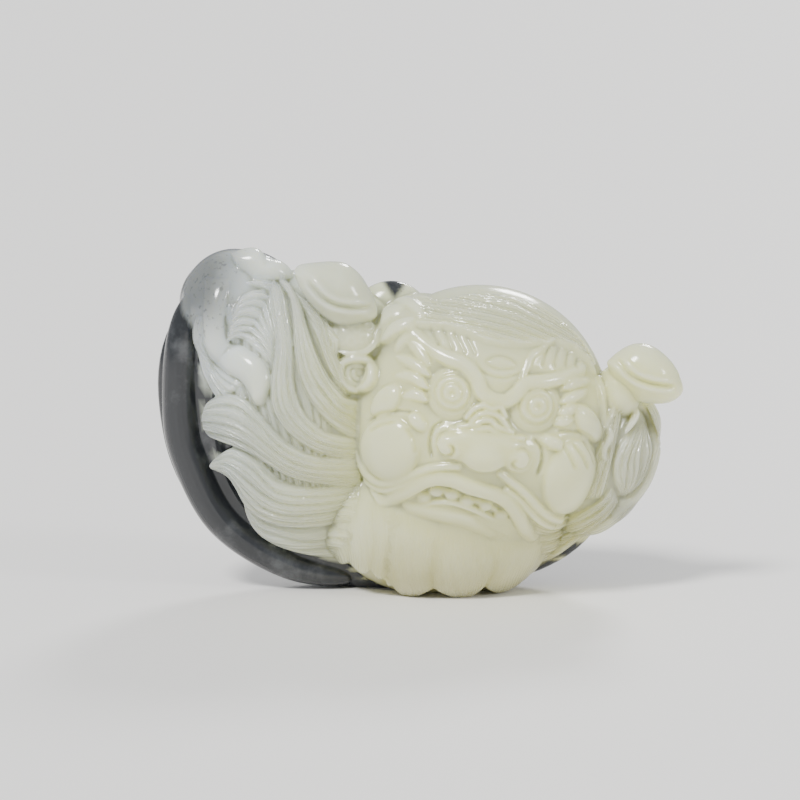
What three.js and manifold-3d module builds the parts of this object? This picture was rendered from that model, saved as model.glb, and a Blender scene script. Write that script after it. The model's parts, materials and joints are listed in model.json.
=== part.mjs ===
// A jade hand piece: a mythical lion's head with a windswept mane, carved from one two-toned pebble.
// Millimetres, +Z up. The face looks along -Y, the dark back along +Y, and it stands on its beard and back.
import * as THREE from "three";
import { mergeVertices } from "three/addons/utils/BufferGeometryUtils.js";
import Module from "manifold-3d";

const wasm = await Module();
wasm.setup();

// The pebble: how far its outline reaches from its centre, seen from the front,
// at stations every 30 degrees anticlockwise from +X.
const stone = {
  centre: { x: -2.4, y: 3, z: 18.8 },
  reach: [27.2, 21.8, 16.6, 15.6, 21.6, 29.6, 28.2, 25, 20.9, 19.8, 21.6, 26],
  frontDepth: 4.6,
  backDepth: 9,
};

// The rounded bodies on its front: the middle's x and z, radii, tilt, and the y of the foot and of the front.
// Behind its foot a body has only a share of its depth, inside the pebble.
const head = { x: 6.9, z: 20.6, across: 15.6, up: 15.9, tilt: 7.6, foot: 1, front: -11.6 };
const maneBank = { x: -13.2, z: 21.6, across: 12, up: 16.6, tilt: 0, foot: 3, front: -5.4 };
const jawBank = { x: 20.4, z: 16.4, across: 7.2, up: 9.4, tilt: 0, foot: 2, front: -4.6 };
const chinBank = { x: 3.9, z: 6.6, across: 11.6, up: 8, tilt: 4, foot: 2, front: -9.8 };
const bankBack = 0.3;
const banks = [head, maneBank, jawBank, chinBank];

// The face's own frame: its middle lies between the eyes, u runs to the viewer's right and v up the brow.
const face = { x: 7.7, z: 24.4, tilt: 7.6 };
const eye = { apart: 4.9, shift: 0.8, v: 0.1, radius: 2.8, ballHeight: 1.7, root: 2 };
const cheek = { apart: 10.3, v: -7.2, across: 3.7, up: 4.6, height: 3.2 };
const nose = { v: -6, bulb: 3, bulbHeight: 3, wingApart: 3.7, wing: 2.1, wingHeight: 2.4 };
const mouth = { u: -0.6, top: -10.6, low: -13.4, drop: 3, halfWidth: 6.8, lip: 0.8, teeth: 6 };
const curl = { x: -7.3, z: 27.2, radius: 2.5, turns: 1.2, strand: 0.45 };
const foot = { z: 0, reach: 60, depth: 20 };

const jade = new THREE.MeshStandardMaterial({ color: 0xd3dac6, roughness: 0.16, metalness: 0 });

const { clamp, degToRad, lerp, smoothstep } = THREE.MathUtils;
const sides = [-1, 1];

// The pebble's reach at an angle in radians, smooth between the stations.
function reachAt(angle) {
  const count = stone.reach.length;
  const turn = ((((angle / (2 * Math.PI)) % 1) + 1) % 1) * count;
  const station = Math.floor(turn);
  const t = turn - station;
  const stations = [-1, 0, 1, 2].map((step) => (station + step + count) % count);
  const [before, from, to, after] = stations.map((index) => stone.reach[index]);
  const slopeFrom = (to - before) / 2;
  const slopeTo = (after - from) / 2;
  const bend = 3 * (to - from) - 2 * slopeFrom - slopeTo;
  const twist = slopeFrom + slopeTo - 2 * (to - from);
  return from + t * (slopeFrom + t * (bend + t * twist));
}

// The y of the pebble's front at a place in the front view.
function stoneFront(x, z) {
  const dx = x - stone.centre.x;
  const dz = z - stone.centre.z;
  const share = Math.min(1, Math.hypot(dx, dz) / reachAt(Math.atan2(dz, dx)));
  return stone.centre.y - stone.frontDepth * Math.sqrt(1 - share * share);
}

// A place in the front view, read in a frame that leans clockwise by some degrees.
function leaned(x, z, degrees) {
  const angle = degToRad(degrees);
  return [x * Math.cos(angle) - z * Math.sin(angle), x * Math.sin(angle) + z * Math.cos(angle)];
}

// The y of a bank's front, or of its foot outside its outline.
function bankFront(bank, x, z) {
  const [u, v] = leaned(x - bank.x, z - bank.z, bank.tilt);
  const share = (u / bank.across) ** 2 + (v / bank.up) ** 2;
  return bank.foot + (bank.front - bank.foot) * Math.sqrt(Math.max(0, 1 - share));
}

// The y of the outermost body at a place in the front view.
function skin(x, z) {
  return Math.min(stoneFront(x, z), ...banks.map((bank) => bankFront(bank, x, z)));
}

// The outward normal of the skin there, leaning no further than a carving tool does.
function skinNormal(x, z) {
  const step = 0.6;
  const steepest = 1.5;
  const slopeX = (skin(x + step, z) - skin(x - step, z)) / (2 * step);
  const slopeZ = (skin(x, z + step) - skin(x, z - step)) / (2 * step);
  const [leanX, leanZ] = [slopeX, slopeZ].map((slope) => clamp(slope, -steepest, steepest));
  return new THREE.Vector3(leanX, -1, leanZ).normalize();
}

// A place on the skin, from the front view.
function onSkin(x, z, lift = 0) {
  return new THREE.Vector3(x, skin(x, z), z).addScaledVector(skinNormal(x, z), lift);
}

// A place in the front view, from the face's own frame.
function facePlace([u, v]) {
  const [x, z] = leaned(u, v, -face.tilt);
  return [face.x + x, face.z + z];
}

// A closed geometry with each vertex moved by a function.
function moved(geometry, move) {
  const position = geometry.getAttribute("position");
  const vertex = new THREE.Vector3();
  for (let i = 0; i < position.count; i += 1) {
    move(vertex.fromBufferAttribute(position, i));
    position.setXYZ(i, vertex.x, vertex.y, vertex.z);
  }
  return geometry;
}

// A geometry as a solid: its shared vertices are merged, and a form that is inside out is turned back.
function solid(geometry) {
  const bare = geometry.clone();
  bare.deleteAttribute("normal");
  bare.deleteAttribute("uv");
  const merged = mergeVertices(bare, 1e-4);
  const vertProperties = new Float32Array(merged.getAttribute("position").array);
  const triVerts = new Uint32Array(merged.index.array);
  const made = new wasm.Manifold(new wasm.Mesh({ numProp: 3, vertProperties, triVerts }));
  if (made.volume() > 0) return made;
  return new wasm.Manifold(new wasm.Mesh({ numProp: 3, vertProperties, triVerts: triVerts.reverse() }));
}

// A rounded lump on a place, with its radii across, outward and up, turned clockwise by its tilt.
function lump(centre, outward, across, height, up, { tilt = 0, segments = 10, rings = 7 } = {}) {
  const out = outward.clone().normalize();
  const right = new THREE.Vector3(Math.cos(degToRad(tilt)), 0, -Math.sin(degToRad(tilt)));
  right.addScaledVector(out, -right.dot(out)).normalize();
  const down = new THREE.Vector3().crossVectors(right, out);
  return moved(new THREE.SphereGeometry(1, segments, rings), (p) => {
    const { x, y, z } = p;
    p.copy(centre).addScaledVector(right, x * across).addScaledVector(out, y * height);
    p.addScaledVector(down, z * up);
  });
}

// A strand: a sphere's rings strung along a curve, so that it is round and both its ends close.
function strand(points, { width, height, blunt = 0.5, around = 6, along = 8 }) {
  const curve = new THREE.CatmullRomCurve3(points, false, "centripetal");
  return moved(new THREE.SphereGeometry(1, around, along), (p) => {
    const t = Math.acos(clamp(p.y, -1, 1)) / Math.PI;
    const angle = Math.atan2(p.z, p.x);
    const girth = Math.max(0, Math.sin(Math.PI * t)) ** blunt;
    const place = curve.getPoint(t);
    const ahead = curve.getTangent(t);
    const out = skinNormal(place.x, place.z);
    out.addScaledVector(ahead, -out.dot(ahead)).normalize();
    const across = new THREE.Vector3().crossVectors(out, ahead);
    p.copy(place);
    p.addScaledVector(across, girth * width * Math.cos(angle));
    p.addScaledVector(out, girth * height * Math.sin(angle));
  });
}

// A smooth path through [x, z] points of the front view.
function guidePath(points) {
  return new THREE.SplineCurve(points.map(([x, z]) => new THREE.Vector2(x, z)));
}

// A tress: a band between two guides that follows the skin, its face worked into ridges.
// It swells by its height, its ends fade out over shares of its length, and its root stays in the stone.
// A scallop draws each ridge's far end out past the grooves beside it.
function tress(guides, shape) {
  const { ridges, along, height, flute = 0.6, root = 1.4 } = shape;
  const { fadeIn = 0.15, fadeOut = 0.3, scallop = 0, facets = 2 } = shape;
  const [first, second] = guides.map(guidePath);
  return moved(new THREE.BoxGeometry(1, 1, 1, facets * ridges, along, 1), (p) => {
    const share = p.x + 0.5;
    const t = p.y + 0.5;
    const ridge = Math.abs(Math.sin(Math.PI * ridges * share));
    const place = first.getPoint(t).lerp(second.getPoint(t), share);
    const ahead = first.getTangent(t).lerp(second.getTangent(t), share);
    place.addScaledVector(ahead, scallop * (ridge - 1) * t * t);
    const fade = Math.sqrt(smoothstep(t, -0.02, fadeIn) * (1 - smoothstep(t, 1 - fadeOut, 1.02)));
    const swell = Math.sqrt(1 - 0.85 * (2 * share - 1) ** 2);
    const lift = p.z > 0 ? height * fade * swell + flute * fade * (ridge - 0.5) : -root;
    p.copy(onSkin(place.x, place.y, lift));
  });
}

function pebble() {
  const { centre, frontDepth, backDepth } = stone;
  return moved(new THREE.SphereGeometry(1, 24, 10), (p) => {
    const angle = Math.atan2(p.z, p.x);
    const reach = Math.hypot(p.x, p.z) * reachAt(angle);
    const depth = p.y < 0 ? frontDepth : backDepth;
    p.set(centre.x + reach * Math.cos(angle), centre.y + depth * p.y, centre.z + reach * Math.sin(angle));
  });
}

// A bank bulges forward from its foot, and is shallow behind it, inside the pebble.
function bankBody(bank, segments, rings) {
  const middle = new THREE.Vector3(bank.x, bank.foot, bank.z);
  const outward = new THREE.Vector3(0, -1, 0);
  const thickness = bank.foot - bank.front;
  const whole = lump(middle, outward, bank.across, thickness, bank.up, { tilt: bank.tilt, segments, rings });
  return moved(whole, (p) => p.setY(p.y > bank.foot ? lerp(bank.foot, p.y, bankBack) : p.y));
}

// The rounded rim of the dark back that shows past the mane on the left and below.
function rim() {
  const side = [[-25.6, 36], [-27.9, 30.6], [-28.3, 22.4], [-27.3, 16.2]];
  const below = [[-23.2, 8.2], [-15.4, 2.9], [-8, 1.4]];
  const points = [...side, ...below].map(([x, z]) => new THREE.Vector3(x, stone.centre.y - 1.2, z));
  return strand(points, { width: 2.3, height: 2.6, blunt: 0.3, around: 7, along: 12 });
}

// An eye: a ball with incised rings inside a raised lid, turned on a lathe.
function eyeball(side) {
  const { radius, ballHeight, root } = eye;
  const profile = [
    [0, -root],
    [radius, -root],
    [radius, ballHeight * 0.15],
    [radius * 0.84, ballHeight * 0.62],
    [radius * 0.68, ballHeight * 0.5],
    [radius * 0.5, ballHeight * 0.95],
    [radius * 0.34, ballHeight * 0.8],
    [radius * 0.18, ballHeight * 1.1],
    [0, ballHeight],
  ];
  const geometry = new THREE.LatheGeometry(profile.map(([r, h]) => new THREE.Vector2(r, h)), 12);
  const place = onSkin(...facePlace([side * eye.apart + eye.shift, eye.v]));
  const out = skinNormal(place.x, place.z);
  geometry.applyQuaternion(new THREE.Quaternion().setFromUnitVectors(new THREE.Vector3(0, 1, 0), out));
  return geometry.translate(place.x, place.y, place.z);
}

function faceLump(u, v, across, height, up, lift = 0, lean = 0) {
  const [x, z] = facePlace([u, v]);
  return lump(onSkin(x, z, lift), skinNormal(x, z), across, height, up, { tilt: face.tilt + lean });
}

function faceStrand(path, shape, lift = 0.3) {
  return strand(path.map((place) => onSkin(...facePlace(place), lift)), shape);
}

function faceTress(guides, shape) {
  return tress(guides.map((guide) => guide.map(facePlace)), shape);
}

// The same path on the left or the right of the face.
function mirrored(path, side) {
  return path.map(([u, v]) => [side * u, v]);
}

function cheekBall(side) {
  return faceLump(side * cheek.apart, cheek.v, cheek.across, cheek.height, cheek.up);
}

function noseForms() {
  const { v, bulb, bulbHeight, wingApart, wing, wingHeight } = nose;
  const bridge = faceTress(
    [[[-2.1, -0.8], [0.2, -0.4], [2.5, -0.8]], [[-3.4, -4], [0.2, -3.4], [3.8, -4]]],
    { ridges: 3, along: 4, height: 0.8, flute: 0.8, fadeOut: 0.15 });
  return [
    faceLump(0, v, bulb, bulbHeight, bulb * 0.9, 0.6),
    faceLump(0, v + 0.8, wingApart + 1, bulbHeight * 0.55, wing),
    ...sides.map((side) => faceLump(side * wingApart, v, wing, wingHeight, wing)),
    bridge,
  ];
}

function browForms() {
  const crease = [[-2, 4.3], [-0.8, 5.3], [0.8, 4.7], [2.2, 5.3], [3.4, 4.3]];
  const ridge = [[0, 0], [2.2, 1.9], [4.6, 3.3], [8, 4.2], [10.9, 6]];
  const tuftTop = [[12.2, 3.8], [10.6, 3.4], [8.9, 2.4]];
  const tuftBottom = [[13, -2.8], [11, -2.2], [9.2, -1.8]];
  const halves = sides.flatMap((side) => [
    faceStrand(mirrored(ridge, side).map(([u, v]) => [eye.shift + u, v]), { width: 1.1, height: 1.5 }, 0.4),
    faceTress(
      [mirrored(tuftTop, side), mirrored(tuftBottom, side)],
      { ridges: 3, along: 3, height: 0.6, flute: 0.9, fadeOut: 0.2 }),
  ]);
  return [faceStrand(crease, { width: 0.6, height: 0.7, around: 4 }), ...halves];
}

// The mouth is an arch that droops at its corners: two lips with a row of teeth between them.
function mouthForms() {
  const { u, top, low, drop, halfWidth, lip, teeth } = mouth;
  const stations = [-1, -0.5, 0, 0.5, 1];
  const arch = (v, span) => stations.map((share) => [u + share * span, v - drop * share * share]);
  const row = [arch(top - 0.6, halfWidth * 0.8), arch(top - 1.9, halfWidth * 0.8)];
  return [
    faceStrand(arch(top, halfWidth), { width: lip, height: 1.2, blunt: 0.35, along: 10 }, 0.5),
    faceStrand(arch(low, halfWidth * 0.9), { width: lip, height: 1.3, blunt: 0.35, along: 10 }, 0.6),
    faceTress(row, { ridges: 1, along: 2 * teeth, height: 0.5 }),
  ];
}

// The whiskered lip sweeps from under the nose, round below each cheek, and curls up outside it.
function whiskers(side) {
  const upper = [[1.4, -9.1], [5.4, -10.1], [9.6, -12], [12.6, -10.9], [14.4, -8.2]];
  const lower = [[1.6, -10.9], [5.6, -12], [9.8, -14.4], [13.8, -13], [15.8, -8.8]];
  const guides = [upper, lower].map((path) => mirrored(path, side));
  return faceTress(guides, { ridges: 3, along: 7, height: 0.9, flute: 0.5 });
}

// Hair combed across the crown, and the ends of locks that lap over the top of the head.
function crownForms() {
  const combed = faceTress(
    [[[-11, 5.2], [-5, 7.2], [4, 7.4], [11, 4.6]], [[-8, 8.4], [-4, 10.8], [3, 10.8], [8, 8]]],
    { ridges: 5, along: 6, height: 1, flute: 0.6, fadeIn: 0.2, fadeOut: 0.2 });
  const outward = new THREE.Vector3(0, -0.4, 1);
  const laps = [-3.2, 2.2, 6.8].map((u) => {
    const [x, z] = facePlace([u, 10.4 - 0.045 * u * u]);
    const place = new THREE.Vector3(x, -1.8, z);
    return lump(place, outward, 4.6, 1.4, 3, { tilt: 6 + 4 * u, segments: 8, rings: 5 });
  });
  return [combed, ...laps];
}

// The beard falls from the lower lip in broad curls, each with a round tip.
function beardForms() {
  const curls = { along: 6, facets: 4, fadeOut: 0.4, root: 3, scallop: 1.3 };
  const left = [[[-9, 9.4], [-9, 6.6], [-8.4, 4]], [[-0.6, 9.6], [-1, 6], [-1.6, 2]]];
  const middle = [[[-2.4, 10], [-2.8, 5], [-2.2, -0.2]], [[14.8, 8.8], [14.8, 5], [12.8, 0.6]]];
  return [
    tress(left, { ridges: 3, height: 1, flute: 0.8, ...curls }),
    tress(middle, { ridges: 4, height: 1.3, flute: 1, ...curls }),
  ];
}

function maneForms() {
  const curledLock = tress([
    [[-6.6, 14.4], [-15.2, 14.2], [-18.6, 16.6], [-21.1, 17.5], [-23.3, 16.5]],
    [[-6.6, 11], [-14.2, 10.6], [-18.6, 11.8], [-20.7, 14.8], [-23, 16]],
  ], { ridges: 4, along: 8, height: 1.7, fadeOut: 0.12 });
  const underLock = tress([
    [[-5.6, 9.4], [-13, 9.8], [-17.6, 10.4], [-20.2, 13.4]],
    [[-6.6, 5.2], [-13, 5.6], [-17.1, 7.1], [-20.2, 11.2]],
  ], { ridges: 3, along: 7, height: 1.5, flute: 0.4, fadeOut: 0.15 });
  const middleLock = tress([
    [[-6.6, 17.2], [-14.2, 18.2], [-17.9, 22], [-21.2, 23.6], [-24.3, 22.6]],
    [[-6.6, 14.8], [-14.2, 15.2], [-18.6, 18], [-22.1, 18.8], [-25, 21]],
  ], { ridges: 4, along: 8, height: 1.5, fadeOut: 0.12 });
  const mainFlow = tress([
    [[-7, 24.6], [-9.6, 28.6], [-12.4, 33.4], [-15, 36.4], [-18.6, 37.6]],
    [[-6.8, 17.6], [-13.6, 20.6], [-16.8, 26.4], [-17.8, 31.4], [-19.4, 35.2]],
  ], { ridges: 7, along: 8, height: 1.2, fadeOut: 0.2 });
  const fan = tress([
    [[-21.4, 31.8], [-20.2, 34.4], [-18.2, 34.6], [-16.8, 31.2]],
    [[-20.8, 30], [-19.7, 32], [-18.8, 32.2], [-17.6, 29.8]],
  ], { ridges: 3, along: 6, height: 0.7 });
  return [curledLock, underLock, middleLock, mainFlow, fan];
}

// The broad S-shaped ribbon at the upper left, with two narrower ones nested outside it.
function ribbonForms() {
  const ribbon = (path, width, height, lift) => {
    const points = path.map(([x, z]) => onSkin(x, z, lift));
    return strand(points, { width, height, blunt: 0.4, along: 9 });
  };
  return [
    ribbon([[-23, 38], [-24, 33.4], [-22.8, 29.6], [-19.8, 27.8], [-18, 23.8]], 1.9, 3, 1.8),
    ribbon([[-25, 36.4], [-25.3, 30.8], [-23.5, 26.9], [-20.4, 26]], 1.3, 2.6, 1.4),
    ribbon([[-26.4, 36], [-26.3, 30], [-24.9, 26], [-23.2, 23.4]], 1.4, 2.8, 0.8),
  ];
}

// The smooth shoulder of stone above the mane at the upper left, folded over the ribbon.
function shoulderForms() {
  const outward = new THREE.Vector3(-0.2, -1, 0.5);
  return [
    lump(new THREE.Vector3(-21.4, 4.4, 34.2), outward, 7.2, 5.6, 6.2, { segments: 14 }),
    lump(new THREE.Vector3(-18, 1, 37.2), outward, 4.8, 3.6, 2.6, { tilt: 20 }),
  ];
}

// The jaw's hair on the right, under the ear, sweeping round to the beard.
function jawHair() {
  return tress([
    [[25.8, 23], [27.4, 19.2], [26.3, 14.4], [22.4, 9.6], [16.9, 5.6]],
    [[20.8, 24], [21.6, 19.8], [21, 15], [18.6, 10.6], [13.8, 7]],
  ], { ridges: 4, along: 8, height: 1.1 });
}

// A leaf-shaped ear: a rounded bud with a lip below it, on a stem that joins it to the mane.
function earForms({ x, y, z, across, up, tilt, stem }) {
  const outward = new THREE.Vector3(0, -1, 0.35);
  const centre = new THREE.Vector3(x, y, z);
  const lip = centre.clone().add(new THREE.Vector3(0.3, -0.5, -up * 0.38));
  return [
    lump(centre, outward, across, 3, up, { tilt, segments: 14 }),
    lump(lip, outward, across * 0.86, 2.5, up * 0.66, { tilt: tilt + 8 }),
    lump(centre.clone().add(new THREE.Vector3(...stem)), outward, 2.8, 3.2, 3.2, { segments: 8, rings: 5 }),
  ];
}

// The snail curl beside the left cheek: a low disc with a raised spiral.
function curlForms() {
  const { x, z, radius, turns, strand: thickness } = curl;
  const stations = 10;
  const spiral = Array.from({ length: stations }, (_, i) => {
    const share = i / (stations - 1);
    const angle = 0.5 + share * turns * 2 * Math.PI;
    const reach = radius * lerp(0.86, 0.16, share);
    return onSkin(x + reach * Math.cos(angle), z + reach * Math.sin(angle), 0.8);
  });
  return [
    lump(onSkin(x, z, 0.1), skinNormal(x, z), radius, 1.1, radius),
    strand(spiral, { width: thickness, height: 0.6, around: 4, along: 12, blunt: 0.3 }),
  ];
}

// The stone is solid: hollows sealed between overlapping forms are filled by keeping only the outer surface.
function outerShell(made) {
  return made.decompose().reduce((largest, shell) => (shell.volume() > largest.volume() ? shell : largest));
}

function carving() {
  const forms = [
    pebble(),
    bankBody(head, 18, 10),
    bankBody(maneBank, 16, 10),
    bankBody(jawBank, 12, 8),
    bankBody(chinBank, 16, 10),
    rim(),
    ...sides.map(eyeball),
    ...sides.map(cheekBall),
    ...sides.map(whiskers),
    ...noseForms(),
    ...browForms(),
    ...mouthForms(),
    ...crownForms(),
    ...beardForms(),
    ...maneForms(),
    ...ribbonForms(),
    ...shoulderForms(),
    jawHair(),
    ...earForms({ x: -9.2, y: -4, z: 36.4, across: 5.1, up: 3.5, tilt: 14, stem: [0, 3, -2] }),
    ...earForms({ x: 26.6, y: -2.6, z: 26.9, across: 4.4, up: 2.9, tilt: 30, stem: [-3, 1.6, -2.6] }),
    ...curlForms(),
  ];
  const below = new THREE.BoxGeometry(2 * foot.reach, 2 * foot.reach, foot.depth);
  below.translate(0, 0, foot.z - foot.depth / 2);
  return outerShell(wasm.Manifold.union(forms.map(solid)).subtract(solid(below)));
}

function meshOf(made) {
  const { numProp, numVert, vertProperties, triVerts } = made.getMesh();
  const position = new Float32Array(numVert * 3);
  for (let i = 0; i < numVert; i += 1) {
    position.set(vertProperties.subarray(i * numProp, i * numProp + 3), i * 3);
  }
  const geometry = new THREE.BufferGeometry();
  geometry.setAttribute("position", new THREE.BufferAttribute(position, 3));
  geometry.setIndex(new THREE.BufferAttribute(triVerts, 1));
  geometry.computeVertexNormals();
  return new THREE.Mesh(geometry, jade);
}

// The origin is under the middle of the piece, on the surface that it stands on.
const lionHead = meshOf(carving());
lionHead.name = "jade_lion_head";
lionHead.geometry.computeBoundingBox();
const middle = lionHead.geometry.boundingBox.getCenter(new THREE.Vector3());
lionHead.position.set(-middle.x, -middle.y, -lionHead.geometry.boundingBox.min.z);

const group = new THREE.Group();
group.add(lionHead);

export default group;
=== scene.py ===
import json
import math
import bpy
import numpy as np
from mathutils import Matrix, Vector, kdtree

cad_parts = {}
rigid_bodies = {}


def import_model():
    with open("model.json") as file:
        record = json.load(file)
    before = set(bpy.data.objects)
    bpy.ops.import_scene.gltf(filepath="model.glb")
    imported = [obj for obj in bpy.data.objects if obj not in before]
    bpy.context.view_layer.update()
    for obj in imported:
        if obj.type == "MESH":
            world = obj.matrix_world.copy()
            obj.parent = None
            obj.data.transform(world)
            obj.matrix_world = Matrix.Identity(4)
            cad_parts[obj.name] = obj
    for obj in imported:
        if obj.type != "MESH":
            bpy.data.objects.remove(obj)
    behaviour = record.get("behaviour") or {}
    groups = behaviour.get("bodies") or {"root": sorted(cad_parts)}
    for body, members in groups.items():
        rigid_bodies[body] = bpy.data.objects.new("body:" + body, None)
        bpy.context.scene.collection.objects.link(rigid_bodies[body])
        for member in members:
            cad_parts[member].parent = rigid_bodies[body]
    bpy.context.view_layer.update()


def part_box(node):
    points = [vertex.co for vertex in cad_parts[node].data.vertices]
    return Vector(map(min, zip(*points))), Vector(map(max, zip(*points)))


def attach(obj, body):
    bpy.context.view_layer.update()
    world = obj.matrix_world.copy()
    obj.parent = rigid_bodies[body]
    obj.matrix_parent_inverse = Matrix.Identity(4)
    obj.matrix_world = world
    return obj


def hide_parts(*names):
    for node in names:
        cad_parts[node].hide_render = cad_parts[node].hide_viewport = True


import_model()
nodeName = "jade_lion_head"
mm = 0.001
print("frame loaded")

# camera, set to the photo's view
view = {
    "elevation": 8.5,          # degrees above the table
    "lens": 100, "sensor": 24,  # mm
    "width": 94.5,             # mm of the object's plane across the picture
    "target": (-2.2, 2.4, 22.8),
}


def addCamera():
    tilt = math.radians(view["elevation"])
    away = view["width"] * view["lens"] / view["sensor"]
    x, y, z = view["target"]
    place = Vector((x, y - away * math.cos(tilt), z + away * math.sin(tilt))) * mm
    bpy.ops.object.camera_add(location=place, rotation=(math.pi / 2 - tilt, 0, 0))
    camera = bpy.context.object
    camera.name = "photoCamera"
    camera.data.lens = view["lens"]
    camera.data.sensor_width = view["sensor"]
    camera.data.clip_start = 0.01
    bpy.context.scene.camera = camera


addCamera()
print("camera placed")

# the stone and the bodies on its front, all in mm, face towards -Y
stone = {
    "centre": (-2.4, 3.0, 18.8),
    "reach": [27.2, 21.8, 16.6, 15.6, 21.6, 29.6, 28.2, 25, 20.9, 19.8, 21.6, 26],  # every 30 degrees
    "front": 4.6, "back": 9.0,
}
head = {"x": 6.9, "z": 20.6, "across": 15.6, "up": 15.9, "tilt": 7.6, "foot": 1, "front": -11.6}
maneBank = {"x": -13.2, "z": 21.6, "across": 12, "up": 16.6, "tilt": 0, "foot": 3, "front": -5.4}
jawBank = {"x": 20.4, "z": 16.4, "across": 7.2, "up": 9.4, "tilt": 0, "foot": 2, "front": -4.6}
chinBank = {"x": 2.6, "z": 8.6, "across": 14, "up": 9.6, "tilt": 0, "foot": 2, "front": -7.4}
templeBank = {"x": 0.4, "z": 30, "across": 6.4, "up": 5.4, "tilt": 7.6, "foot": 2, "front": -7}
shoulderBank = {"x": -21.8, "z": 33.2, "across": 6.6, "up": 7.2, "tilt": -8, "foot": 4.5, "front": -2.6}
earBank = {"x": -7.6, "z": 30.4, "across": 5.4, "up": 5.2, "tilt": 0, "foot": 3, "front": -5}
banks = [head, maneBank, jawBank, chinBank, templeBank, shoulderBank, earBank]
bankBack = 0.3   # share of a bank's depth behind its foot
blendReach = 0.4  # how softly the bodies run into each other
face = {"x": 7.7, "z": 24.4, "tilt": 7.6}  # its own frame: u to the right, v up


def smoothStep(x, low, high):
    t = np.clip((x - low) / (high - low), 0, 1)
    return t * t * (3 - 2 * t)


def reachAt(angle):
    count = len(stone["reach"])
    turn = (angle / (2 * np.pi)) % 1 * count
    station = np.floor(turn).astype(int)
    t = turn - station
    table = np.array(stone["reach"], float)
    before, start, end, after = (table[(station + step) % count] for step in (-1, 0, 1, 2))
    slopeStart = (end - before) / 2
    slopeEnd = (after - start) / 2
    bend = 3 * (end - start) - 2 * slopeStart - slopeEnd
    twist = slopeStart + slopeEnd - 2 * (end - start)
    return start + t * (slopeStart + t * (bend + t * twist))


def leaned(x, z, degrees):
    a = math.radians(degrees)
    return x * math.cos(a) - z * math.sin(a), x * math.sin(a) + z * math.cos(a)


def facePlace(u, v):
    x, z = leaned(np.asarray(u, float), np.asarray(v, float), -face["tilt"])
    return face["x"] + x, face["z"] + z


def stoneFront(x, z):
    cx, cy, cz = stone["centre"]
    share = np.hypot(x - cx, z - cz) / reachAt(np.arctan2(z - cz, x - cx))
    return cy - stone["front"] * np.sqrt(np.clip(1 - share**2, 0, 1))


def bankFront(bank, x, z):
    u, v = leaned(x - bank["x"], z - bank["z"], bank["tilt"])
    share = (u / bank["across"]) ** 2 + (v / bank["up"]) ** 2
    return bank["foot"] + (bank["front"] - bank["foot"]) * np.sqrt(np.clip(1 - share, 0, 1))


def skin(x, z):  # y of the bare front, bodies blended
    fronts = [stoneFront(x, z)] + [bankFront(bank, x, z) for bank in banks]
    nearest = np.minimum.reduce(fronts)
    return nearest - blendReach * np.log(sum(np.exp((nearest - f) / blendReach) for f in fronts))


def skinNormal(x, z):
    step, steepest = 0.5, 1.6
    dx = (skin(x + step, z) - skin(x - step, z)) / (2 * step)
    dz = (skin(x, z + step) - skin(x, z - step)) / (2 * step)
    n = np.stack([np.clip(dx, -steepest, steepest), -np.ones_like(dx), np.clip(dz, -steepest, steepest)], -1)
    return n / np.linalg.norm(n, axis=-1, keepdims=True)


def onSkin(x, z, lift=0.0):
    x, z = np.broadcast_arrays(np.asarray(x, float), np.asarray(z, float))
    place = np.stack([x, skin(x, z), z], -1)
    return place + skinNormal(x, z) * np.asarray(lift)[..., None]


def splineAt(points, t):  # smooth path through the points, t from 0 to 1
    points = np.asarray(points, float)
    turn = np.clip(t, 0, 1) * (len(points) - 1)
    station = np.minimum(turn.astype(int), len(points) - 2)
    s = (turn - station)[:, None]
    last = len(points) - 1
    before, start, end, after = (points[np.clip(station + step, 0, last)] for step in (-1, 0, 1, 2))
    slopeStart = (end - before) / 2
    slopeEnd = (after - start) / 2
    bend = 3 * (end - start) - 2 * slopeStart - slopeEnd
    twist = slopeStart + slopeEnd - 2 * (end - start)
    return start + s * (slopeStart + s * (bend + s * twist))


def unit(v):
    return v / np.maximum(np.linalg.norm(v, axis=-1, keepdims=True), 1e-9)


# forms: each starts as a ball or a slab and is worked into shape, then all are joined
forms = []
darkPoints, palePoints = [], []
combed = {"places": [], "lines": [], "depth": []}  # where hair lies, which hair it is there, how deep
hairPitch = 0.34  # mm between the finest hairs
blanks = {}  # one plain ball or slab of each fineness, copied for every form


def plainBall(around, along):
    if ("ball", around, along) not in blanks:
        bpy.ops.mesh.primitive_uv_sphere_add(segments=around, ring_count=along, radius=1)
        blanks["ball", around, along] = bpy.context.object
    return blanks["ball", around, along]


def plainSlab(across, along):  # two sheets closed at the edges, the face at z 0
    if ("slab", across, along) not in blanks:
        bpy.ops.mesh.primitive_grid_add(x_subdivisions=across, y_subdivisions=along, size=2)
        slab = bpy.context.object
        thicken = slab.modifiers.new("thicken", "SOLIDIFY")
        thicken.thickness = 1
        thicken.offset = -1
        bpy.ops.object.modifier_apply(modifier="thicken")
        blanks["slab", across, along] = slab
    return blanks["slab", across, along]


def shapeForm(name, blank, work, dark=False):
    form = blank.copy()
    form.data = blank.data.copy()
    form.name = name
    bpy.context.collection.objects.link(form)
    worked = work(vertexPlaces(form))
    setPlaces(form, worked)
    (darkPoints if dark else palePoints).append(worked[::3])
    forms.append(form)
    return form


def vertexPlaces(piece):
    flat = np.empty(len(piece.data.vertices) * 3)
    piece.data.vertices.foreach_get("co", flat)
    return flat.reshape(-1, 3)


def setPlaces(piece, places):
    piece.data.vertices.foreach_set("co", places.ravel())
    piece.data.update()


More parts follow.
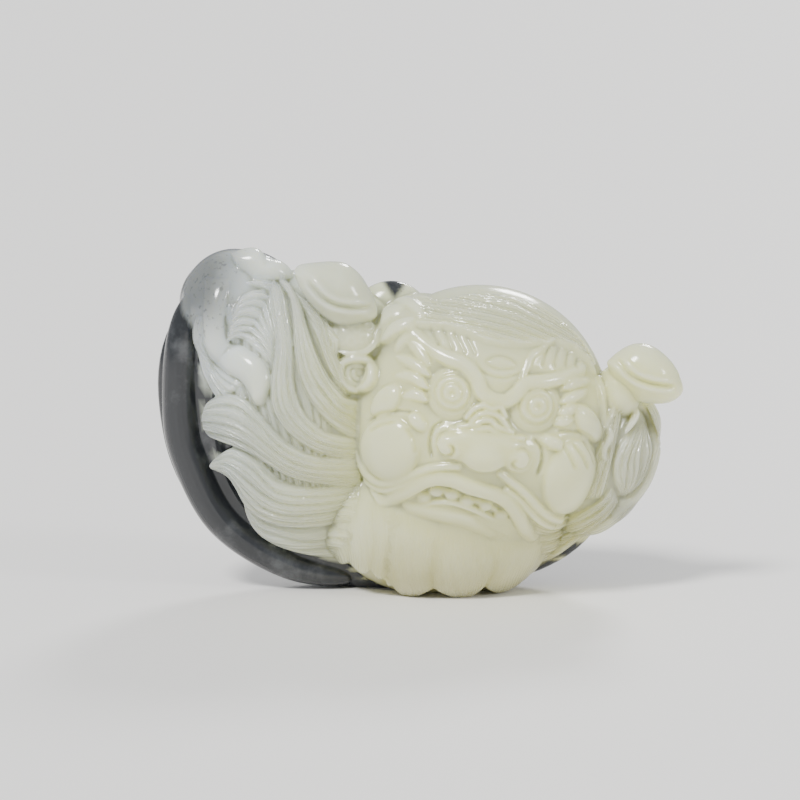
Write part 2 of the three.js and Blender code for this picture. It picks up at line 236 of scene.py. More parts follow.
def lump(name, centre, outward, across, height, up, tilt=0.0, around=48, along=32, dark=False, back=1.0):
    out = unit(np.array(outward, float))
    a = math.radians(tilt)
    right = np.array([math.cos(a), 0, -math.sin(a)])
    right = unit(right - out * right.dot(out))
    rise = np.cross(right, out)

    def work(p):
        deep = p[:, 1] * height * np.where(p[:, 1] < 0, back, 1)
        aside = np.asarray(centre) + np.outer(p[:, 0] * across, right)
        return aside + np.outer(deep, out) + np.outer(p[:, 2] * up, rise)

    return shapeForm(name, plainBall(around, along), work, dark)


def strand(name, points, width, height, blunt=0.5, around=24, along=80, dark=False):
    def work(p):
        t = np.arccos(np.clip(p[:, 2], -1, 1)) / np.pi
        angle = np.arctan2(p[:, 1], p[:, 0])
        girth = np.maximum(np.sin(np.pi * t), 0) ** blunt
        place = splineAt(points, t)
        ahead = unit(splineAt(points, t + 0.01) - splineAt(points, t - 0.01))
        out = skinNormal(place[:, 0], place[:, 2])
        out = unit(out - ahead * (out * ahead).sum(1, keepdims=True))
        side = np.cross(out, ahead)
        aside = side * (girth * width * np.cos(angle))[:, None]
        above = out * (girth * height * np.sin(angle))[:, None]
        return place + aside + above

    return shapeForm(name, plainBall(around, along), work, dark)


tressShape = {
    "ridges": 4, "height": 1.2, "flute": 0.34, "root": 1.8, "fadeIn": 0.12, "fadeOut": 0.2, "scallop": 0.0,
    "fine": 0.2, "fineLines": 2, "drift": 0.0, "edge": 0.85,
}


def bandShare(p):  # a slab read as a band: along it, across it, and which sheet is its face
    return (1 - p[:, 1]) / 2, (1 + p[:, 0]) / 2, p[:, 2] > -0.5


def tress(name, guides, across=90, along=130, **changes):
    shape = {**tressShape, **changes}
    first, second = guides

    def work(p):
        t, share, front = bandShare(p)
        uneven = share + 0.025 * np.sin(2 * np.pi * (share * 1.7 + t * 0.9) + shape["drift"])
        ridge = np.abs(np.sin(np.pi * shape["ridges"] * uneven))
        waver = 0.5 * np.sin(4 * t + shape["drift"]) + 0.35 * np.sin(11 * t + 7 * share)
        hair = np.abs(np.sin(np.pi * shape["ridges"] * shape["fineLines"] * uneven + waver))
        low, high = splineAt(first, t), splineAt(second, t)
        place = low + (high - low) * share[:, None]
        beyond = splineAt(first, t + 0.02) + splineAt(second, t + 0.02)
        ahead = unit(beyond - splineAt(first, t - 0.02) - splineAt(second, t - 0.02))
        place = place + ahead * (shape["scallop"] * (ridge - 1) * t**2)[:, None]
        ending = 1 - smoothStep(t, 1 - shape["fadeOut"], 1.02)
        fade = np.sqrt(smoothStep(t, -0.02, shape["fadeIn"]) * ending)
        swell = np.sqrt(1 - shape["edge"] * (2 * share - 1) ** 2)
        grooves = shape["flute"] * (ridge - 0.5)
        lift = fade * (shape["height"] * swell + grooves + shape["fine"] * (hair - 0.6))
        places = onSkin(place[:, 0], place[:, 1], np.where(front, lift, -shape["root"]))
        wide = np.linalg.norm(high - low, axis=1).mean()
        depth = (1 - (2 * share - 1) ** 8) * fade * min(1, 6 * shape["fine"])
        combHair(places[front], (share * wide / hairPitch + waver)[front], depth[front])
        return places

    return shapeForm(name, plainSlab(across, along), work)


def combHair(places, lines, depth):
    combed["places"].append(places)
    combed["lines"].append(lines)
    combed["depth"].append(depth)


# dark pebble, its rim past the mane, and the rounded bodies
plate = {"u": (-15.6, 15.6), "v": (12.2, -19), "fineness": 280, "root": 3.2, "sink": 1.8}  # the face's sheet
humps = {  # middle, outward, radii across, outward and up
    "backHump": ((-3.4, 3.2, 32.8), (0, -1, 0), 4.4, 2.4, 3.9),  # between the left ear and the crown
    "shoulder": ((-21.4, 4.4, 34.2), (-0.2, -1, 0.5), 7.2, 5.6, 6.2),
}
rim = {
    "path": [(-25.6, 36), (-27.9, 30.6), (-28.3, 22.4), (-27.3, 16.2), (-23.2, 8.2), (-15.4, 2.9),
             (-8, 1.4)],
    "y": 1.8, "width": 2.3, "height": 2.6,
}


def makePebble():
    cx, cy, cz = stone["centre"]

    def work(p):
        angle = np.arctan2(p[:, 2], p[:, 0])
        reach = np.hypot(p[:, 0], p[:, 2]) * reachAt(angle)
        depth = np.where(p[:, 1] < 0, stone["front"], stone["back"])
        return np.stack([cx + reach * np.cos(angle), cy + depth * p[:, 1], cz + reach * np.sin(angle)], -1)

    shapeForm("pebble", plainBall(96, 64), work, dark=True)
    points = [(x, rim["y"], z) for x, z in rim["path"]]
    strand("rimRoll", points, rim["width"], rim["height"], blunt=0.3, along=120, dark=True)
    for name, hump in humps.items():
        lump(name, *hump, dark=True)


def makeBanks():
    for bank in banks:
        middle = (bank["x"], bank["foot"], bank["z"])
        deep = bank["foot"] - bank["front"] - (plate["sink"] if bank in (head, chinBank, templeBank) else 0)
        lump("bank", middle, (0, -1, 0), bank["across"], deep, bank["up"], bank["tilt"], 96, 64,
             dark=bank is maneBank, back=bankBack)


makePebble()
makeBanks()

# face: one plate of relief over the front of the head, in mm of its own frame
eye = {
    "left": (-4.15, 0.4), "right": (5.75, 0.1),
    "ball": 2.5, "socket": 3.4, "lid": 2.7, "rings": (1.15, 2.05), "pupil": 0.3,
}
nose = {  # u, v, half width, half height, bulge
    "bridge": (0.2, -5.4, 5.4, 2.0, 1.2),
    "wings": [(-3.6, -5.5, 1.8, 1.6, 1.3), (4.3, -6.1, 1.7, 1.55, 1.25)],
    "bulb": (0.35, -6.1, 2.7, 2.0, 1.8),
}
cheeks = [(-10.2, -7.4, 3.3, 3.8, 1.45), (10.7, -8.2, 3.1, 4.6, 1.5)]
cheekFacets = [  # the same, and the lean in degrees
    (-11.4, -2.1, 1.3, 2.4, 1.0, 28), (-7.6, -3.5, 1.3, 0.8, 0.9, 40),
    (12.0, -1.7, 1.2, 2.6, 1.0, -38), (8.2, -4.0, 1.4, 0.8, 0.9, 20),
]


def softMax(a, b, k=0.22):
    return (a + b + np.sqrt((a - b) ** 2 + k * k)) / 2


def dome(u, v, cu, cv, across, up, height, lean=0.0):
    a = math.radians(lean)
    du, dv = u - cu, v - cv
    r = np.hypot((du * math.cos(a) - dv * math.sin(a)) / across, (du * math.sin(a) + dv * math.cos(a)) / up)
    return np.where(r < 1, height * np.sqrt(np.clip(1 - r * r, 0, 1)), (1 - r) * 4)


def nearPath(u, v, path, reach):  # distance to a path and how far along it, for the points within reach
    line = splineAt(path, np.linspace(0, 1, 24 * (len(path) - 1)))
    low, high = line.min(0) - reach, line.max(0) + reach
    near = np.where((u > low[0]) & (u < high[0]) & (v > low[1]) & (v < high[1]))[0]
    apart = np.hypot(u[near, None] - line[:, 0], v[near, None] - line[:, 1])
    nearest = apart.argmin(1)
    return near, apart[np.arange(len(near)), nearest], nearest / (len(line) - 1)


def raiseBand(relief, u, v, path, width, height, taper=0.35, base=0.0):
    near, apart, t = nearPath(u, v, path, width * 2)
    slim = 1 - taper * np.abs(2 * t - 1) ** 2
    r = apart / (width * slim)
    band = np.where(r < 1, height * slim * np.sqrt(np.clip(1 - r * r, 0, 1)), (1 - r) * 2) + base
    relief[near] = softMax(relief[near], band, 0.15)


def cutLine(relief, u, v, path, width, depth):
    near, apart, t = nearPath(u, v, path, width * 3)
    fade = smoothStep(t, -0.05, 0.2) * (1 - smoothStep(t, 0.8, 1.05))
    relief[near] -= depth * fade * np.exp(-((apart / width) ** 2))


browRidge = [(-9.3, 6.0), (-7.6, 5.0), (-5.4, 4.2), (-3.2, 3.7), (-1.7, 2.5), (-0.7, 1.0), (0.7, 0.3),
             (2.1, 0.4), (3.3, 1.4), (4.2, 2.5), (6.2, 2.9), (8.2, 3.4), (10.4, 4.3)]
browCorner = [(3.7, 3.2), (4.1, 4.4), (4.4, 5.5), (5.3, 6.2), (6.4, 7.1)]
bridgeFolds = [
    [(-2.2, -2.1), (-1.4, -1.0), (-0.4, -0.5), (0.6, -0.7), (1.5, -0.5), (2.3, -1.4)],
    [(-1.7, -2.7), (-0.8, -1.6), (0.4, -1.25), (1.6, -1.6), (2.7, -2.6)],
    [(-2.9, -3.2), (-1.2, -2.8), (-0.3, -2.2), (0.6, -2.1), (1.5, -2.7), (3.3, -3.1)],
    [(-3.7, -3.7), (-1.6, -3.6), (0.3, -3.0), (2.1, -3.6), (4.6, -3.7)],
]
eyeTufts = [
    [(-7.3, 3.1), (-8.5, 4.3), (-10.0, 5.3)], [(-7.2, 2.0), (-8.9, 2.8), (-10.8, 3.1)],
    [(-7.2, 0.5), (-8.8, 1.3), (-10.6, 1.1)], [(-7.1, -0.9), (-8.2, -0.6), (-9.6, -1.0)],
    [(8.7, 2.3), (9.8, 2.9), (11.6, 3.1)], [(8.8, 0.8), (10.0, 1.4), (11.3, 2.0)],
    [(8.7, -0.6), (9.6, -0.1), (10.5, 0.5)], [(8.4, -1.8), (9.2, -1.4), (10.1, -1.1)],
]
frownLines = [
    [(-1.0, 4.3), (0.0, 5.0), (1.1, 5.2), (2.3, 4.9), (3.1, 4.2)],
    [(-0.9, 4.3), (0.2, 3.9), (1.2, 3.8), (3.0, 4.2)],
    [(-1.5, 3.6), (-0.3, 3.05), (1.1, 2.85), (2.4, 3.15), (3.4, 3.8)],
]
foreheadCuts = [
    [(-7.6, 7.0), (-6.8, 6.0), (-6.2, 5.2)], [(-6.2, 7.2), (-5.4, 6.2), (-4.6, 5.0)],
    [(-4.8, 7.0), (-4.0, 6.0), (-3.2, 4.8)],
    [(-3.4, 6.8), (-2.7, 5.9), (-2.0, 4.8)], [(6.4, 6.7), (6.1, 5.6), (5.9, 4.4)],
    [(7.6, 6.7), (7.4, 5.6), (7.3, 4.5)],
    [(8.8, 6.3), (8.7, 5.4), (8.6, 4.6)], [(10.0, 5.6), (9.9, 5.0), (9.8, 4.4)],
]
noseFolds = [
    [(-3.2, -4.1), (-4.6, -4.3), (-5.1, -5.6), (-4.3, -6.7), (-3.2, -6.4), (-3.1, -5.6), (-3.7, -5.2)],
    [(3.5, -5.0), (4.7, -4.8), (5.6, -5.7), (5.3, -6.9), (4.3, -7.2), (3.6, -6.6), (4.0, -6.0)],
    [(-4.8, -2.9), (-5.8, -4.0), (-5.9, -6.0), (-5.4, -7.4)],
    [(5.8, -3.6), (6.9, -4.6), (7.2, -6.4), (6.8, -8.0)],
]
cheekFolds = [
    [(-13.4, -5.0), (-11.6, -3.5), (-9.6, -2.7), (-8.0, -2.6)],
    [(8.4, -2.6), (10.3, -2.5), (12.0, -3.1), (13.6, -4.8)],
    [(9.0, -3.9), (9.8, -5.2), (10.5, -6.6)], [(10.2, -3.8), (11.2, -5.2), (11.9, -6.6)],
    [(11.6, -3.7), (12.4, -4.9), (12.9, -6.2)], [(-12.4, -5.6), (-11.2, -4.6), (-9.8, -3.9)],
    [(-8.6, -4.4), (-7.6, -5.6), (-7.2, -7.0)],
]
whiskers = [  # path, half width, height
    ([(-2.4, -7.9), (-3.8, -8.1), (-5.2, -8.5), (-6.5, -9.2), (-8, -10.3), (-9.5, -11.3), (-11, -11.7),
      (-12.4, -11.2), (-13.5, -10.1), (-14.3, -8.8)], 0.6, 0.95),
    ([(-4.0, -9.0), (-6.6, -10.1), (-8.3, -11.4), (-9.8, -12.4), (-11.4, -12.6), (-13.1, -11.8),
      (-14.5, -10.2)], 0.45, 0.9),
    ([(2.6, -8.1), (3.9, -8.9), (5.5, -10), (7, -11.4), (8.5, -12.7), (10, -13.6), (11.5, -13.9),
      (13, -13.2), (14, -11.9)], 0.6, 0.95),
    ([(3.4, -9.9), (5, -10.9), (6.5, -12.3), (8, -13.7), (9.8, -14.7), (11.6, -15), (13.4, -14.3),
      (14.7, -12.8)], 0.45, 0.9),
]
lipRoll = [(-14.4, -11.4), (-13.2, -13.1), (-11.4, -13.9), (-9.6, -13.7), (-8, -12.3), (-6.6, -11),
           (-5, -10), (-3, -9.6), (-0.8, -10.1), (0.8, -10.4), (2.4, -10.7), (4, -11.5), (5.3, -13),
           (6.4, -14.9), (7.8, -16.5), (9.8, -17.5)]
mouthArch = [(-6.7, -13.1), (-6, -12.2), (-5, -11.2), (-4, -10.85), (-2.4, -11.1), (-1, -11.6),
             (0.8, -11.7), (2.4, -12.2), (3.8, -13.2), (4.6, -14.4), (5, -15.3)]
mouthMiddle = [(-6.1, -12.9), (-4.2, -12.2), (-1.5, -12.5), (1, -13.1), (3, -13.9), (4.6, -14.9)]
lipPit = (-7.9, -14.7)  # a drilled dot at the lip's left end
tongue = [(-5.5, -13.4), (-4, -12.8), (-2.5, -12.6), (-1, -12.8), (0.5, -13.2), (2, -13.8), (3.4, -14.5),
          (4.4, -15)]
lowerLip = [(-7.4, -14.0), (-6, -14.2), (-3, -14.4), (-0.5, -14.6), (1, -15.2), (3, -15.9), (5, -16)]
hairline = [(-13, 3.6), (-11, 5.4), (-9, 6.6), (-5.5, 7.1), (-3, 6.8), (-1, 6.3), (1, 6.2), (3, 6.3),
            (5, 6.6), (7, 6.9), (9, 6.4), (11, 5), (13, 2.8)]
crownCurls = [
    [(-13.2, 5.6), (-12.2, 7.2), (-10.6, 8.3)], [(-12.2, 4.4), (-11.2, 6.0), (-9.6, 7.2)],
    [(-11.0, 4.0), (-10.1, 5.3), (-8.6, 6.3)], [(-11.4, 8.8), (-9.8, 8.6), (-8.4, 7.8)],
]


def faceRelief(u, v):
    relief = np.zeros_like(u)
    for cu, cv in (eye["left"], eye["right"]):
        r = np.hypot(u - cu, v - cv)
        relief -= 1.3 * np.exp(-((r / eye["socket"]) ** 4))
        relief = softMax(relief, dome(u, v, cu, cv, eye["ball"], eye["ball"], 1.1) - 0.7, 0.1)
        relief += 0.5 * np.exp(-(((r - eye["lid"]) / 0.3) ** 2))
        for ring in eye["rings"]:
            relief -= 0.26 * np.exp(-(((r - ring) / 0.2) ** 2))
        relief -= 0.3 * np.exp(-((r / eye["pupil"]) ** 2))
    relief = softMax(relief, dome(u, v, *nose["bridge"]), 0.5)
    for bulge in nose["wings"] + [nose["bulb"]]:
        relief = softMax(relief, dome(u, v, *bulge), 0.3)
    for bulge in cheeks:
        relief = softMax(relief, dome(u, v, *bulge), 0.5)
    for facet in cheekFacets:
        relief = softMax(relief, dome(u, v, *facet))
    raiseBand(relief, u, v, browRidge, 0.85, 0.45, 0.2)
    for path in eyeTufts:
        raiseBand(relief, u, v, path, 0.66, 0.48, 0.7)
    for path in bridgeFolds:
        raiseBand(relief, u, v, path, 0.36, 0.6, 0.3)
    for path in frownLines + foreheadCuts:
        cutLine(relief, u, v, path, 0.2, 0.28)
    raiseBand(relief, u, v, browCorner, 0.4, 0.25)
    raiseBand(relief, u, v, lipRoll, 0.95, 0.7, 0.1)
    for path, width, height in whiskers:
        raiseBand(relief, u, v, path, width, 0.75 * height, 0.3)
    raiseBand(relief, u, v, lowerLip, 0.9, 0.45, 0.3)
    cutLine(relief, u, v, mouthMiddle, 0.75, 0.6)
    cutLine(relief, u, v, mouthArch, 0.3, 0.65)
    raiseBand(relief, u, v, tongue, 0.35, 0.5, 0.3, base=-0.3)
    arch = splineAt(mouthArch, np.linspace(0.12, 0.9, 7))
    for cu, cv in arch:
        relief = softMax(relief, dome(u, v, cu + 0.1, cv - 0.66, 0.78, 0.6, 0.45) - 0.3, 0.1)
    relief -= 0.6 * np.exp(-((np.hypot(u - lipPit[0], v - lipPit[1]) / 0.45) ** 2))
    for path in noseFolds:
        cutLine(relief, u, v, path, 0.24, 0.62)
    for path in cheekFolds:
        cutLine(relief, u, v, path, 0.2, 0.38)
    for path in crownCurls:
        raiseBand(relief, u, v, path, 0.6, 0.4, 0.6)
    return relief + crownRelief(u, v)


def aboveHairline(u, v):
    line = np.array(hairline)
    return v - np.interp(u, line[:, 0], line[:, 1])


def crownFlow(u, v):  # hair lines run across the crown and draw together at the right
    return (v - 7 + 0.012 * (u + 4) ** 2) / (1 - 0.05 * np.maximum(u - 2, 0))


def crownRelief(u, v):
    above = aboveHairline(u, v)
    flow = crownFlow(u, v)
    hair = np.abs(np.sin(np.pi * flow / 0.8 + 0.3 * np.sin(0.5 * u)))
    thin = np.abs(np.sin(np.pi * flow / 0.33 + 0.8 * np.sin(0.7 * u + v)))
    lines = (0.24 * (hair - 0.8) + 0.1 * (thin - 0.6)) * smoothStep(above, 0.1, 0.6)
    return 0.6 * smoothStep(above, -0.2, 0.5) + lines * smoothStep(u, -9.5, -6)


def makeFace():
    def work(p):
        t, share, front = bandShare(p)
        u = plate["u"][0] + (plate["u"][1] - plate["u"][0]) * share
        v = plate["v"][0] + (plate["v"][1] - plate["v"][0]) * t
        relief = faceRelief(u, v)
        x, z = facePlace(u, v)
        du, dv = leaned(x - head["x"], z - head["z"], head["tilt"])
        share = np.hypot(du / head["across"], dv / head["up"])
        tu, tv = leaned(x - templeBank["x"], z - templeBank["z"], templeBank["tilt"])
        least = np.minimum(share, np.hypot(tu / templeBank["across"], tv / templeBank["up"]))
        inside = 1 - smoothStep(least, 0.93, 0.985)
        pull = np.where(least > 0.985, np.minimum(1, 0.985 / share), 1)  # it ends inside the head's edge
        x, z = leaned(du * pull, dv * pull, -head["tilt"])
        lift = np.where(front, relief * inside - 1.2 * (1 - inside), -plate["root"])
        places = onSkin(head["x"] + x, head["z"] + z, lift)
        hair = smoothStep(aboveHairline(u, v), 0.2, 0.8) * smoothStep(u, -9.5, -6) * inside
        combHair(places[front], crownFlow(u, v)[front] / hairPitch, hair[front])
        return places

    shapeForm("facePlate", plainSlab(plate["fineness"], plate["fineness"]), work)
    edge = np.array([(-1, 11.2), (2.2, 10.9), (5, 10.2), (8, 8.6), (10.4, 6.8), (12.2, 4.6)])
    strand("crownLap", onSkin(*facePlace(*edge.T), 0.1), 0.5, 0.5, blunt=0.3)


def makeBeard():
    curls = {"fadeIn": 0.9, "fadeOut": 0.12, "root": 3, "fine": 0.03, "fineLines": 5, "edge": 0.6}
    tress("beardLeft", [[(-11.6, 13), (-11, 7.6), (-10.2, 3.6)], [(-2, 14.4), (-2.6, 7.2), (-3.4, 1.8)]],
          ridges=3, height=0.6, flute=0.16, scallop=1.0, **curls)
    tress("beardMiddle", [[(-5.2, 12), (-4.8, 5.4), (-3.6, -0.2)], [(15.4, 9.6), (14.8, 5), (12.6, 0.2)]],
          ridges=3, height=0.9, flute=0.3, scallop=1.6, **curls)


makeFace()
makeBeard()
print("face shaped,", len(forms), "forms so far")

# mane, ears and curls: guides down the two sides of each lock, x and z in mm
mane = {
    "underHair": ([(-24.4, 34), (-23.6, 28), (-21.8, 22), (-19, 15.5), (-17, 9.8), (-12, 6)],
                  [(-14.4, 36), (-12.6, 30), (-11, 24), (-10.4, 18), (-10, 12), (-9, 7)],
                  {"ridges": 11, "height": 0.4, "flute": 0.35, "fine": 0.1, "root": 2.4}),
    "underLock": ([(-5.6, 8.6), (-12, 8.4), (-15.5, 8.8), (-18.6, 9.8), (-20.6, 12)],
                  [(-8.6, 4), (-12, 4.2), (-15, 4.9), (-17.8, 6.4), (-20.6, 10.8)],
                  {"ridges": 3, "height": 1.5, "fine": 0.1, "fadeIn": 0.5}),
    "curledLock": ([(-7, 13.6), (-13, 13.6), (-16, 14.2), (-17.4, 15.4), (-18.4, 16.5), (-20, 17.4),
                    (-21.6, 17.8), (-22.7, 17.1), (-23.8, 15.9)],
                   [(-7, 8.8), (-12, 8.4), (-15.5, 8.6), (-18.2, 9.3), (-20, 10.9), (-20.9, 12.8),
                    (-21.5, 14), (-22.4, 14.7), (-23.9, 15.2)],
                   {"ridges": 5, "height": 1.9, "fadeIn": 0.3, "fadeOut": 0.06}),
    "middleLock": ([(-7, 16.8), (-12, 17.2), (-15, 18.6), (-17, 20.4), (-18.6, 22.2), (-20.4, 23.7),
                    (-22.4, 23.9), (-24.4, 22.8), (-25.4, 20.7)],
                   [(-7, 12.8), (-13, 14), (-15.6, 15), (-17.6, 16.2), (-19.2, 17.2), (-21, 17.9),
                    (-22.8, 18.3), (-24.2, 18.8), (-25.4, 20)],
                   {"ridges": 5, "height": 1.7, "fadeIn": 0.3, "fadeOut": 0.06}),
    "sideFlow": ([(-20.4, 37), (-18, 35.6), (-17.1, 32.6), (-16.7, 29.6), (-17.2, 26), (-17, 22.6),
                  (-15, 19.6), (-11.6, 17.4), (-7, 16.4)],
                 [(-17.5, 37.2), (-15.8, 35.6), (-15, 32), (-14.7, 29), (-14.6, 26), (-13.8, 23),
                  (-12, 20.8), (-10, 19.6), (-7, 19)],
                 {"ridges": 4, "height": 1.2, "fadeOut": 0.3}),
    "mainFlow": ([(-17, 37.2), (-15.2, 35), (-14.7, 32), (-14.5, 29), (-13.9, 26), (-12.5, 23.2),
                  (-10.4, 20.8), (-7, 18.6)],
                 [(-15.6, 37), (-14, 34.6), (-13, 31.6), (-12, 29), (-10.8, 26.6), (-9.4, 24.8),
                  (-8.4, 23.8), (-7, 23.4)],
                 {"ridges": 4, "height": 1.4, "fadeOut": 0.3}),
    "earHair": ([(-15, 36.2), (-13.2, 33.2), (-12.2, 30.8), (-11.2, 28.4), (-10.2, 26.2), (-8.6, 24)],
                [(-12.4, 34.2), (-10.2, 32), (-9.2, 30.6), (-9.4, 29), (-9.2, 27.4), (-8, 25)],
                {"ridges": 3, "height": 0.9}),
    "fan": ([(-21.8, 34), (-20.6, 35.6), (-18.9, 36), (-17.5, 34.8), (-16.8, 32.6), (-16.4, 30)],
            [(-22.6, 30.2), (-21.6, 30.7), (-20.4, 30.3), (-19, 29.4), (-17.8, 28.4), (-17, 27.4)],
            {"ridges": 6, "height": 0.9, "flute": 0.42, "fine": 0.1, "edge": 0.6}),
    "jawHair": ([(20.2, 26.4), (20.8, 22), (20.4, 18), (19.6, 14.6), (18.4, 11.8)],
                [(24, 25), (23.6, 22), (22.9, 19), (22.2, 15.6), (21.4, 12)],
                {"ridges": 3, "height": 0.7}),
    "jawLeaf": ([(25.6, 20.4), (23.6, 18.8), (22.7, 16.6), (22.7, 14.2), (23.4, 12.2)],
                [(26.3, 20.4), (27, 18.4), (27, 16.4), (26.2, 14.2), (24, 12)],
                {"ridges": 3, "height": 0.9, "flute": 0.16, "fadeIn": 0.5, "fadeOut": 0.2}),
    "jawBand": ([(25.2, 22.6), (26.7, 20.8), (27.1, 18.6), (26.7, 16.4), (25.5, 13.6), (23.4, 11.4),
                 (20.6, 9), (17.4, 7.4)],
                [(27.4, 22.8), (28.4, 20.9), (28.5, 18.8), (27.9, 16.4), (26.7, 13.4), (24.5, 10.4),
                 (21.6, 7.7), (18.2, 5.8)],
                {"ridges": 1, "height": 1.0, "flute": 0.3, "fine": 0.08}),
    "jawLines": ([(12.6, 9.8), (15.2, 8.8), (18, 9.6), (20.6, 11.4), (22.4, 13.2)],
                 [(13, 3), (15.8, 3.8), (18.4, 5.6), (21, 7.9), (23.6, 10.6)],
                 {"ridges": 4, "height": 0.8, "flute": 0.3, "fadeIn": 0.5}),
    "nest": ([(-26.3, 33), (-26.4, 30.8), (-25.9, 27.5), (-25.05, 25.2), (-23.2, 22.9)],
             [(-25, 33), (-25, 30.5), (-24.2, 28), (-22.6, 26.5), (-20.4, 25.4)],
             {"ridges": 4, "height": 0.8, "flute": 0.4, "fine": 0.1, "fadeIn": 0.3, "fadeOut": 0.06}),
    "ribbon": ([(-25.1, 37.4), (-25.2, 34.5), (-25.1, 32.1), (-24.9, 29.8), (-24, 27.8), (-22.4, 26.5),
                (-20.8, 25.8), (-19.8, 24.6), (-19, 23)],
               [(-22.2, 37.4), (-22.6, 34.5), (-22.75, 31.9), (-22.3, 30.3), (-21.3, 29.8),
                (-20.1, 29.4), (-18.2, 28.1), (-17.3, 26), (-18, 23)],
               {"ridges": 1, "height": 1.5, "flute": 0.2, "fine": 0, "edge": 0.75, "fadeIn": 0.4,
                "fadeOut": 0.08}),
}
jawTufts = [
    [(23.4, 25.6), (22.7, 24.2), (23.4, 22.9), (22.2, 21.2)],
    [(22.2, 25), (21.6, 23.4), (22.2, 22), (21, 20.2)],
    [(24.8, 24), (24.2, 22.4), (24.8, 21.2), (23.6, 19.4)],
    [(21.4, 20.6), (22, 19.2), (21.2, 17.8), (21.6, 16.4)],
]
ears = {  # outline round the bud, then its crease, all x and z
    "left": {
        "centre": (-9.8, -3.4, 36.1), "deep": 3.4,
        "outline": [(-14.7, 38.5), (-14, 39.3), (-12, 39.6), (-10, 39.7), (-8.5, 39.4), (-7, 38.2),
                    (-6, 36.7), (-5.2, 35.1), (-5, 33.4), (-6, 32.7), (-8, 32.2), (-10, 32.5), (-12, 34),
                    (-13.8, 36.2)],
        "crease": [(-13.2, 38), (-11.6, 36.1), (-10, 35.1), (-8, 34.7), (-5.6, 34.6)],
        "stem": (-9.6, -1, 34),
    },
    "right": {
        "centre": (26.6, -2.6, 26.4), "deep": 3,
        "outline": [(21.8, 27.8), (23, 28.9), (24.5, 29.8), (26, 30), (27.5, 29.5), (29, 28.3), (30, 27),
                    (30.6, 25.6), (30.8, 24.5), (30.2, 23.6), (29, 23), (27.4, 22.9), (25.5, 23.2),
                    (24, 24.4), (22.4, 26.2)],
        "crease": [(22.9, 28.4), (23.8, 27.3), (25, 26.3), (27, 25.6), (29.8, 25.2)],
        "stem": (23.4, -1.2, 24.2),
    },
}
shoulderFold = {
    "centre": (-18.4, 1.2, 38.5), "deep": 2.2,
    "outline": [(-22.2, 40.2), (-20.4, 40.8), (-19, 40.7), (-17.9, 39.7), (-16.4, 39.3), (-15.2, 38.3),
                (-15, 37.2), (-16.8, 36.8), (-18.6, 36.8), (-20.6, 36.8), (-21.6, 38.3)],
    "crease": [(-21.9, 39.8), (-21.2, 38.4), (-20.4, 37.3), (-18.6, 37.4), (-16.8, 37.3), (-15.4, 37.2)],
}
frill = {  # small curls under the left ear and the lip below them
    "x": -7.6, "z": 31, "half": 3.4, "across": 3.3, "up": 2.3,
    "curls": [(-10, 31.4), (-8.7, 31.9), (-7.4, 31.9), (-6.1, 32.2), (-9.3, 30.4), (-8, 30.6),
              (-6.7, 30.9)],
    "lip": [(-10.6, 29.9), (-9.4, 29.3), (-8, 29.1), (-6.6, 29.4), (-5.6, 30.1), (-4.9, 31.3),
            (-4.7, 32.8)],
}
snail = {"x": -7.3, "z": 26.8, "half": 3.1, "radius": 2.4, "pitch": 0.66}


def leaf(name, shape, lip=0.3, groove=0.45):  # a bud with its own outline, creased across the front
    cx, cy, cz = shape["centre"]
    rimLine = splineAt(shape["outline"] + shape["outline"][:1], np.linspace(0, 1, 200)) - (cx, cz)
    turn = np.arctan2(rimLine[:, 1], rimLine[:, 0])
    order = np.argsort(turn)
    turn, reach = turn[order], np.hypot(rimLine[:, 0], rimLine[:, 1])[order]

    def work(p):
        angle = np.arctan2(p[:, 2], p[:, 0])
        out = np.hypot(p[:, 0], p[:, 2]) * np.interp(angle, turn, reach, period=2 * np.pi)
        x, z = cx + out * np.cos(angle), cz + out * np.sin(angle)
        near, apart, t = nearPath(x, z, shape["crease"], 3)
        cut = np.zeros(len(x))
        fade = smoothStep(t, -0.02, 0.15) * (1 - smoothStep(t, 0.9, 1.05))
        cut[near] = groove * fade * np.exp(-((apart / 0.3) ** 2))
        cut[near] -= lip * fade * np.exp(-(((apart - 0.7) / 0.35) ** 2))
        y = cy + shape["deep"] * p[:, 1] + np.where(p[:, 1] < 0, cut * -p[:, 1], 0)
        return np.stack([x, y, z], -1)

    shapeForm(name, plainBall(128, 96), work)


def patch(name, shape, relief):  # a small square of the skin with its own relief
    def work(p):
        x, z = shape["x"] + shape["half"] * p[:, 0], shape["z"] + shape["half"] * p[:, 1]
        return onSkin(x, z, np.where(p[:, 2] > -0.5, relief(x, z), -1.5))

    shapeForm(name, plainSlab(80, 80), work)


def makeMane():
    for i, (name, (first, second, shape)) in enumerate(mane.items()):
        tress(name, (first, second), drift=i * 1.3, **shape)
    for path in jawTufts:
        strand("jawTuft", onSkin(*np.array(path).T, 0.7), 0.5, 0.6, along=60)
    leaf("shoulderFold", shoulderFold, lip=0, groove=-0.5)


def frillRelief(x, z):
    lift = np.full(len(x), 0.25)
    for cx, cz in frill["curls"]:
        lift += 0.1 * np.exp(-(((np.hypot(x - cx, z - cz) - 0.42) / 0.16) ** 2))
    raiseBand(lift, x, z, frill["lip"], 0.4, 0.7, 0.2)
    out = np.hypot((x - frill["x"]) / frill["across"], (z - frill["z"]) / frill["up"])
    inside = 1 - smoothStep(out, 0.85, 1)
    return lift * inside - 0.8 * (1 - inside)


def makeEars():
    for side, ear in ears.items():
        leaf("ear" + side, ear)
        lump("earStem", ear["stem"], (0, -1, 0.35), 2.8, 3.2, 3.2)


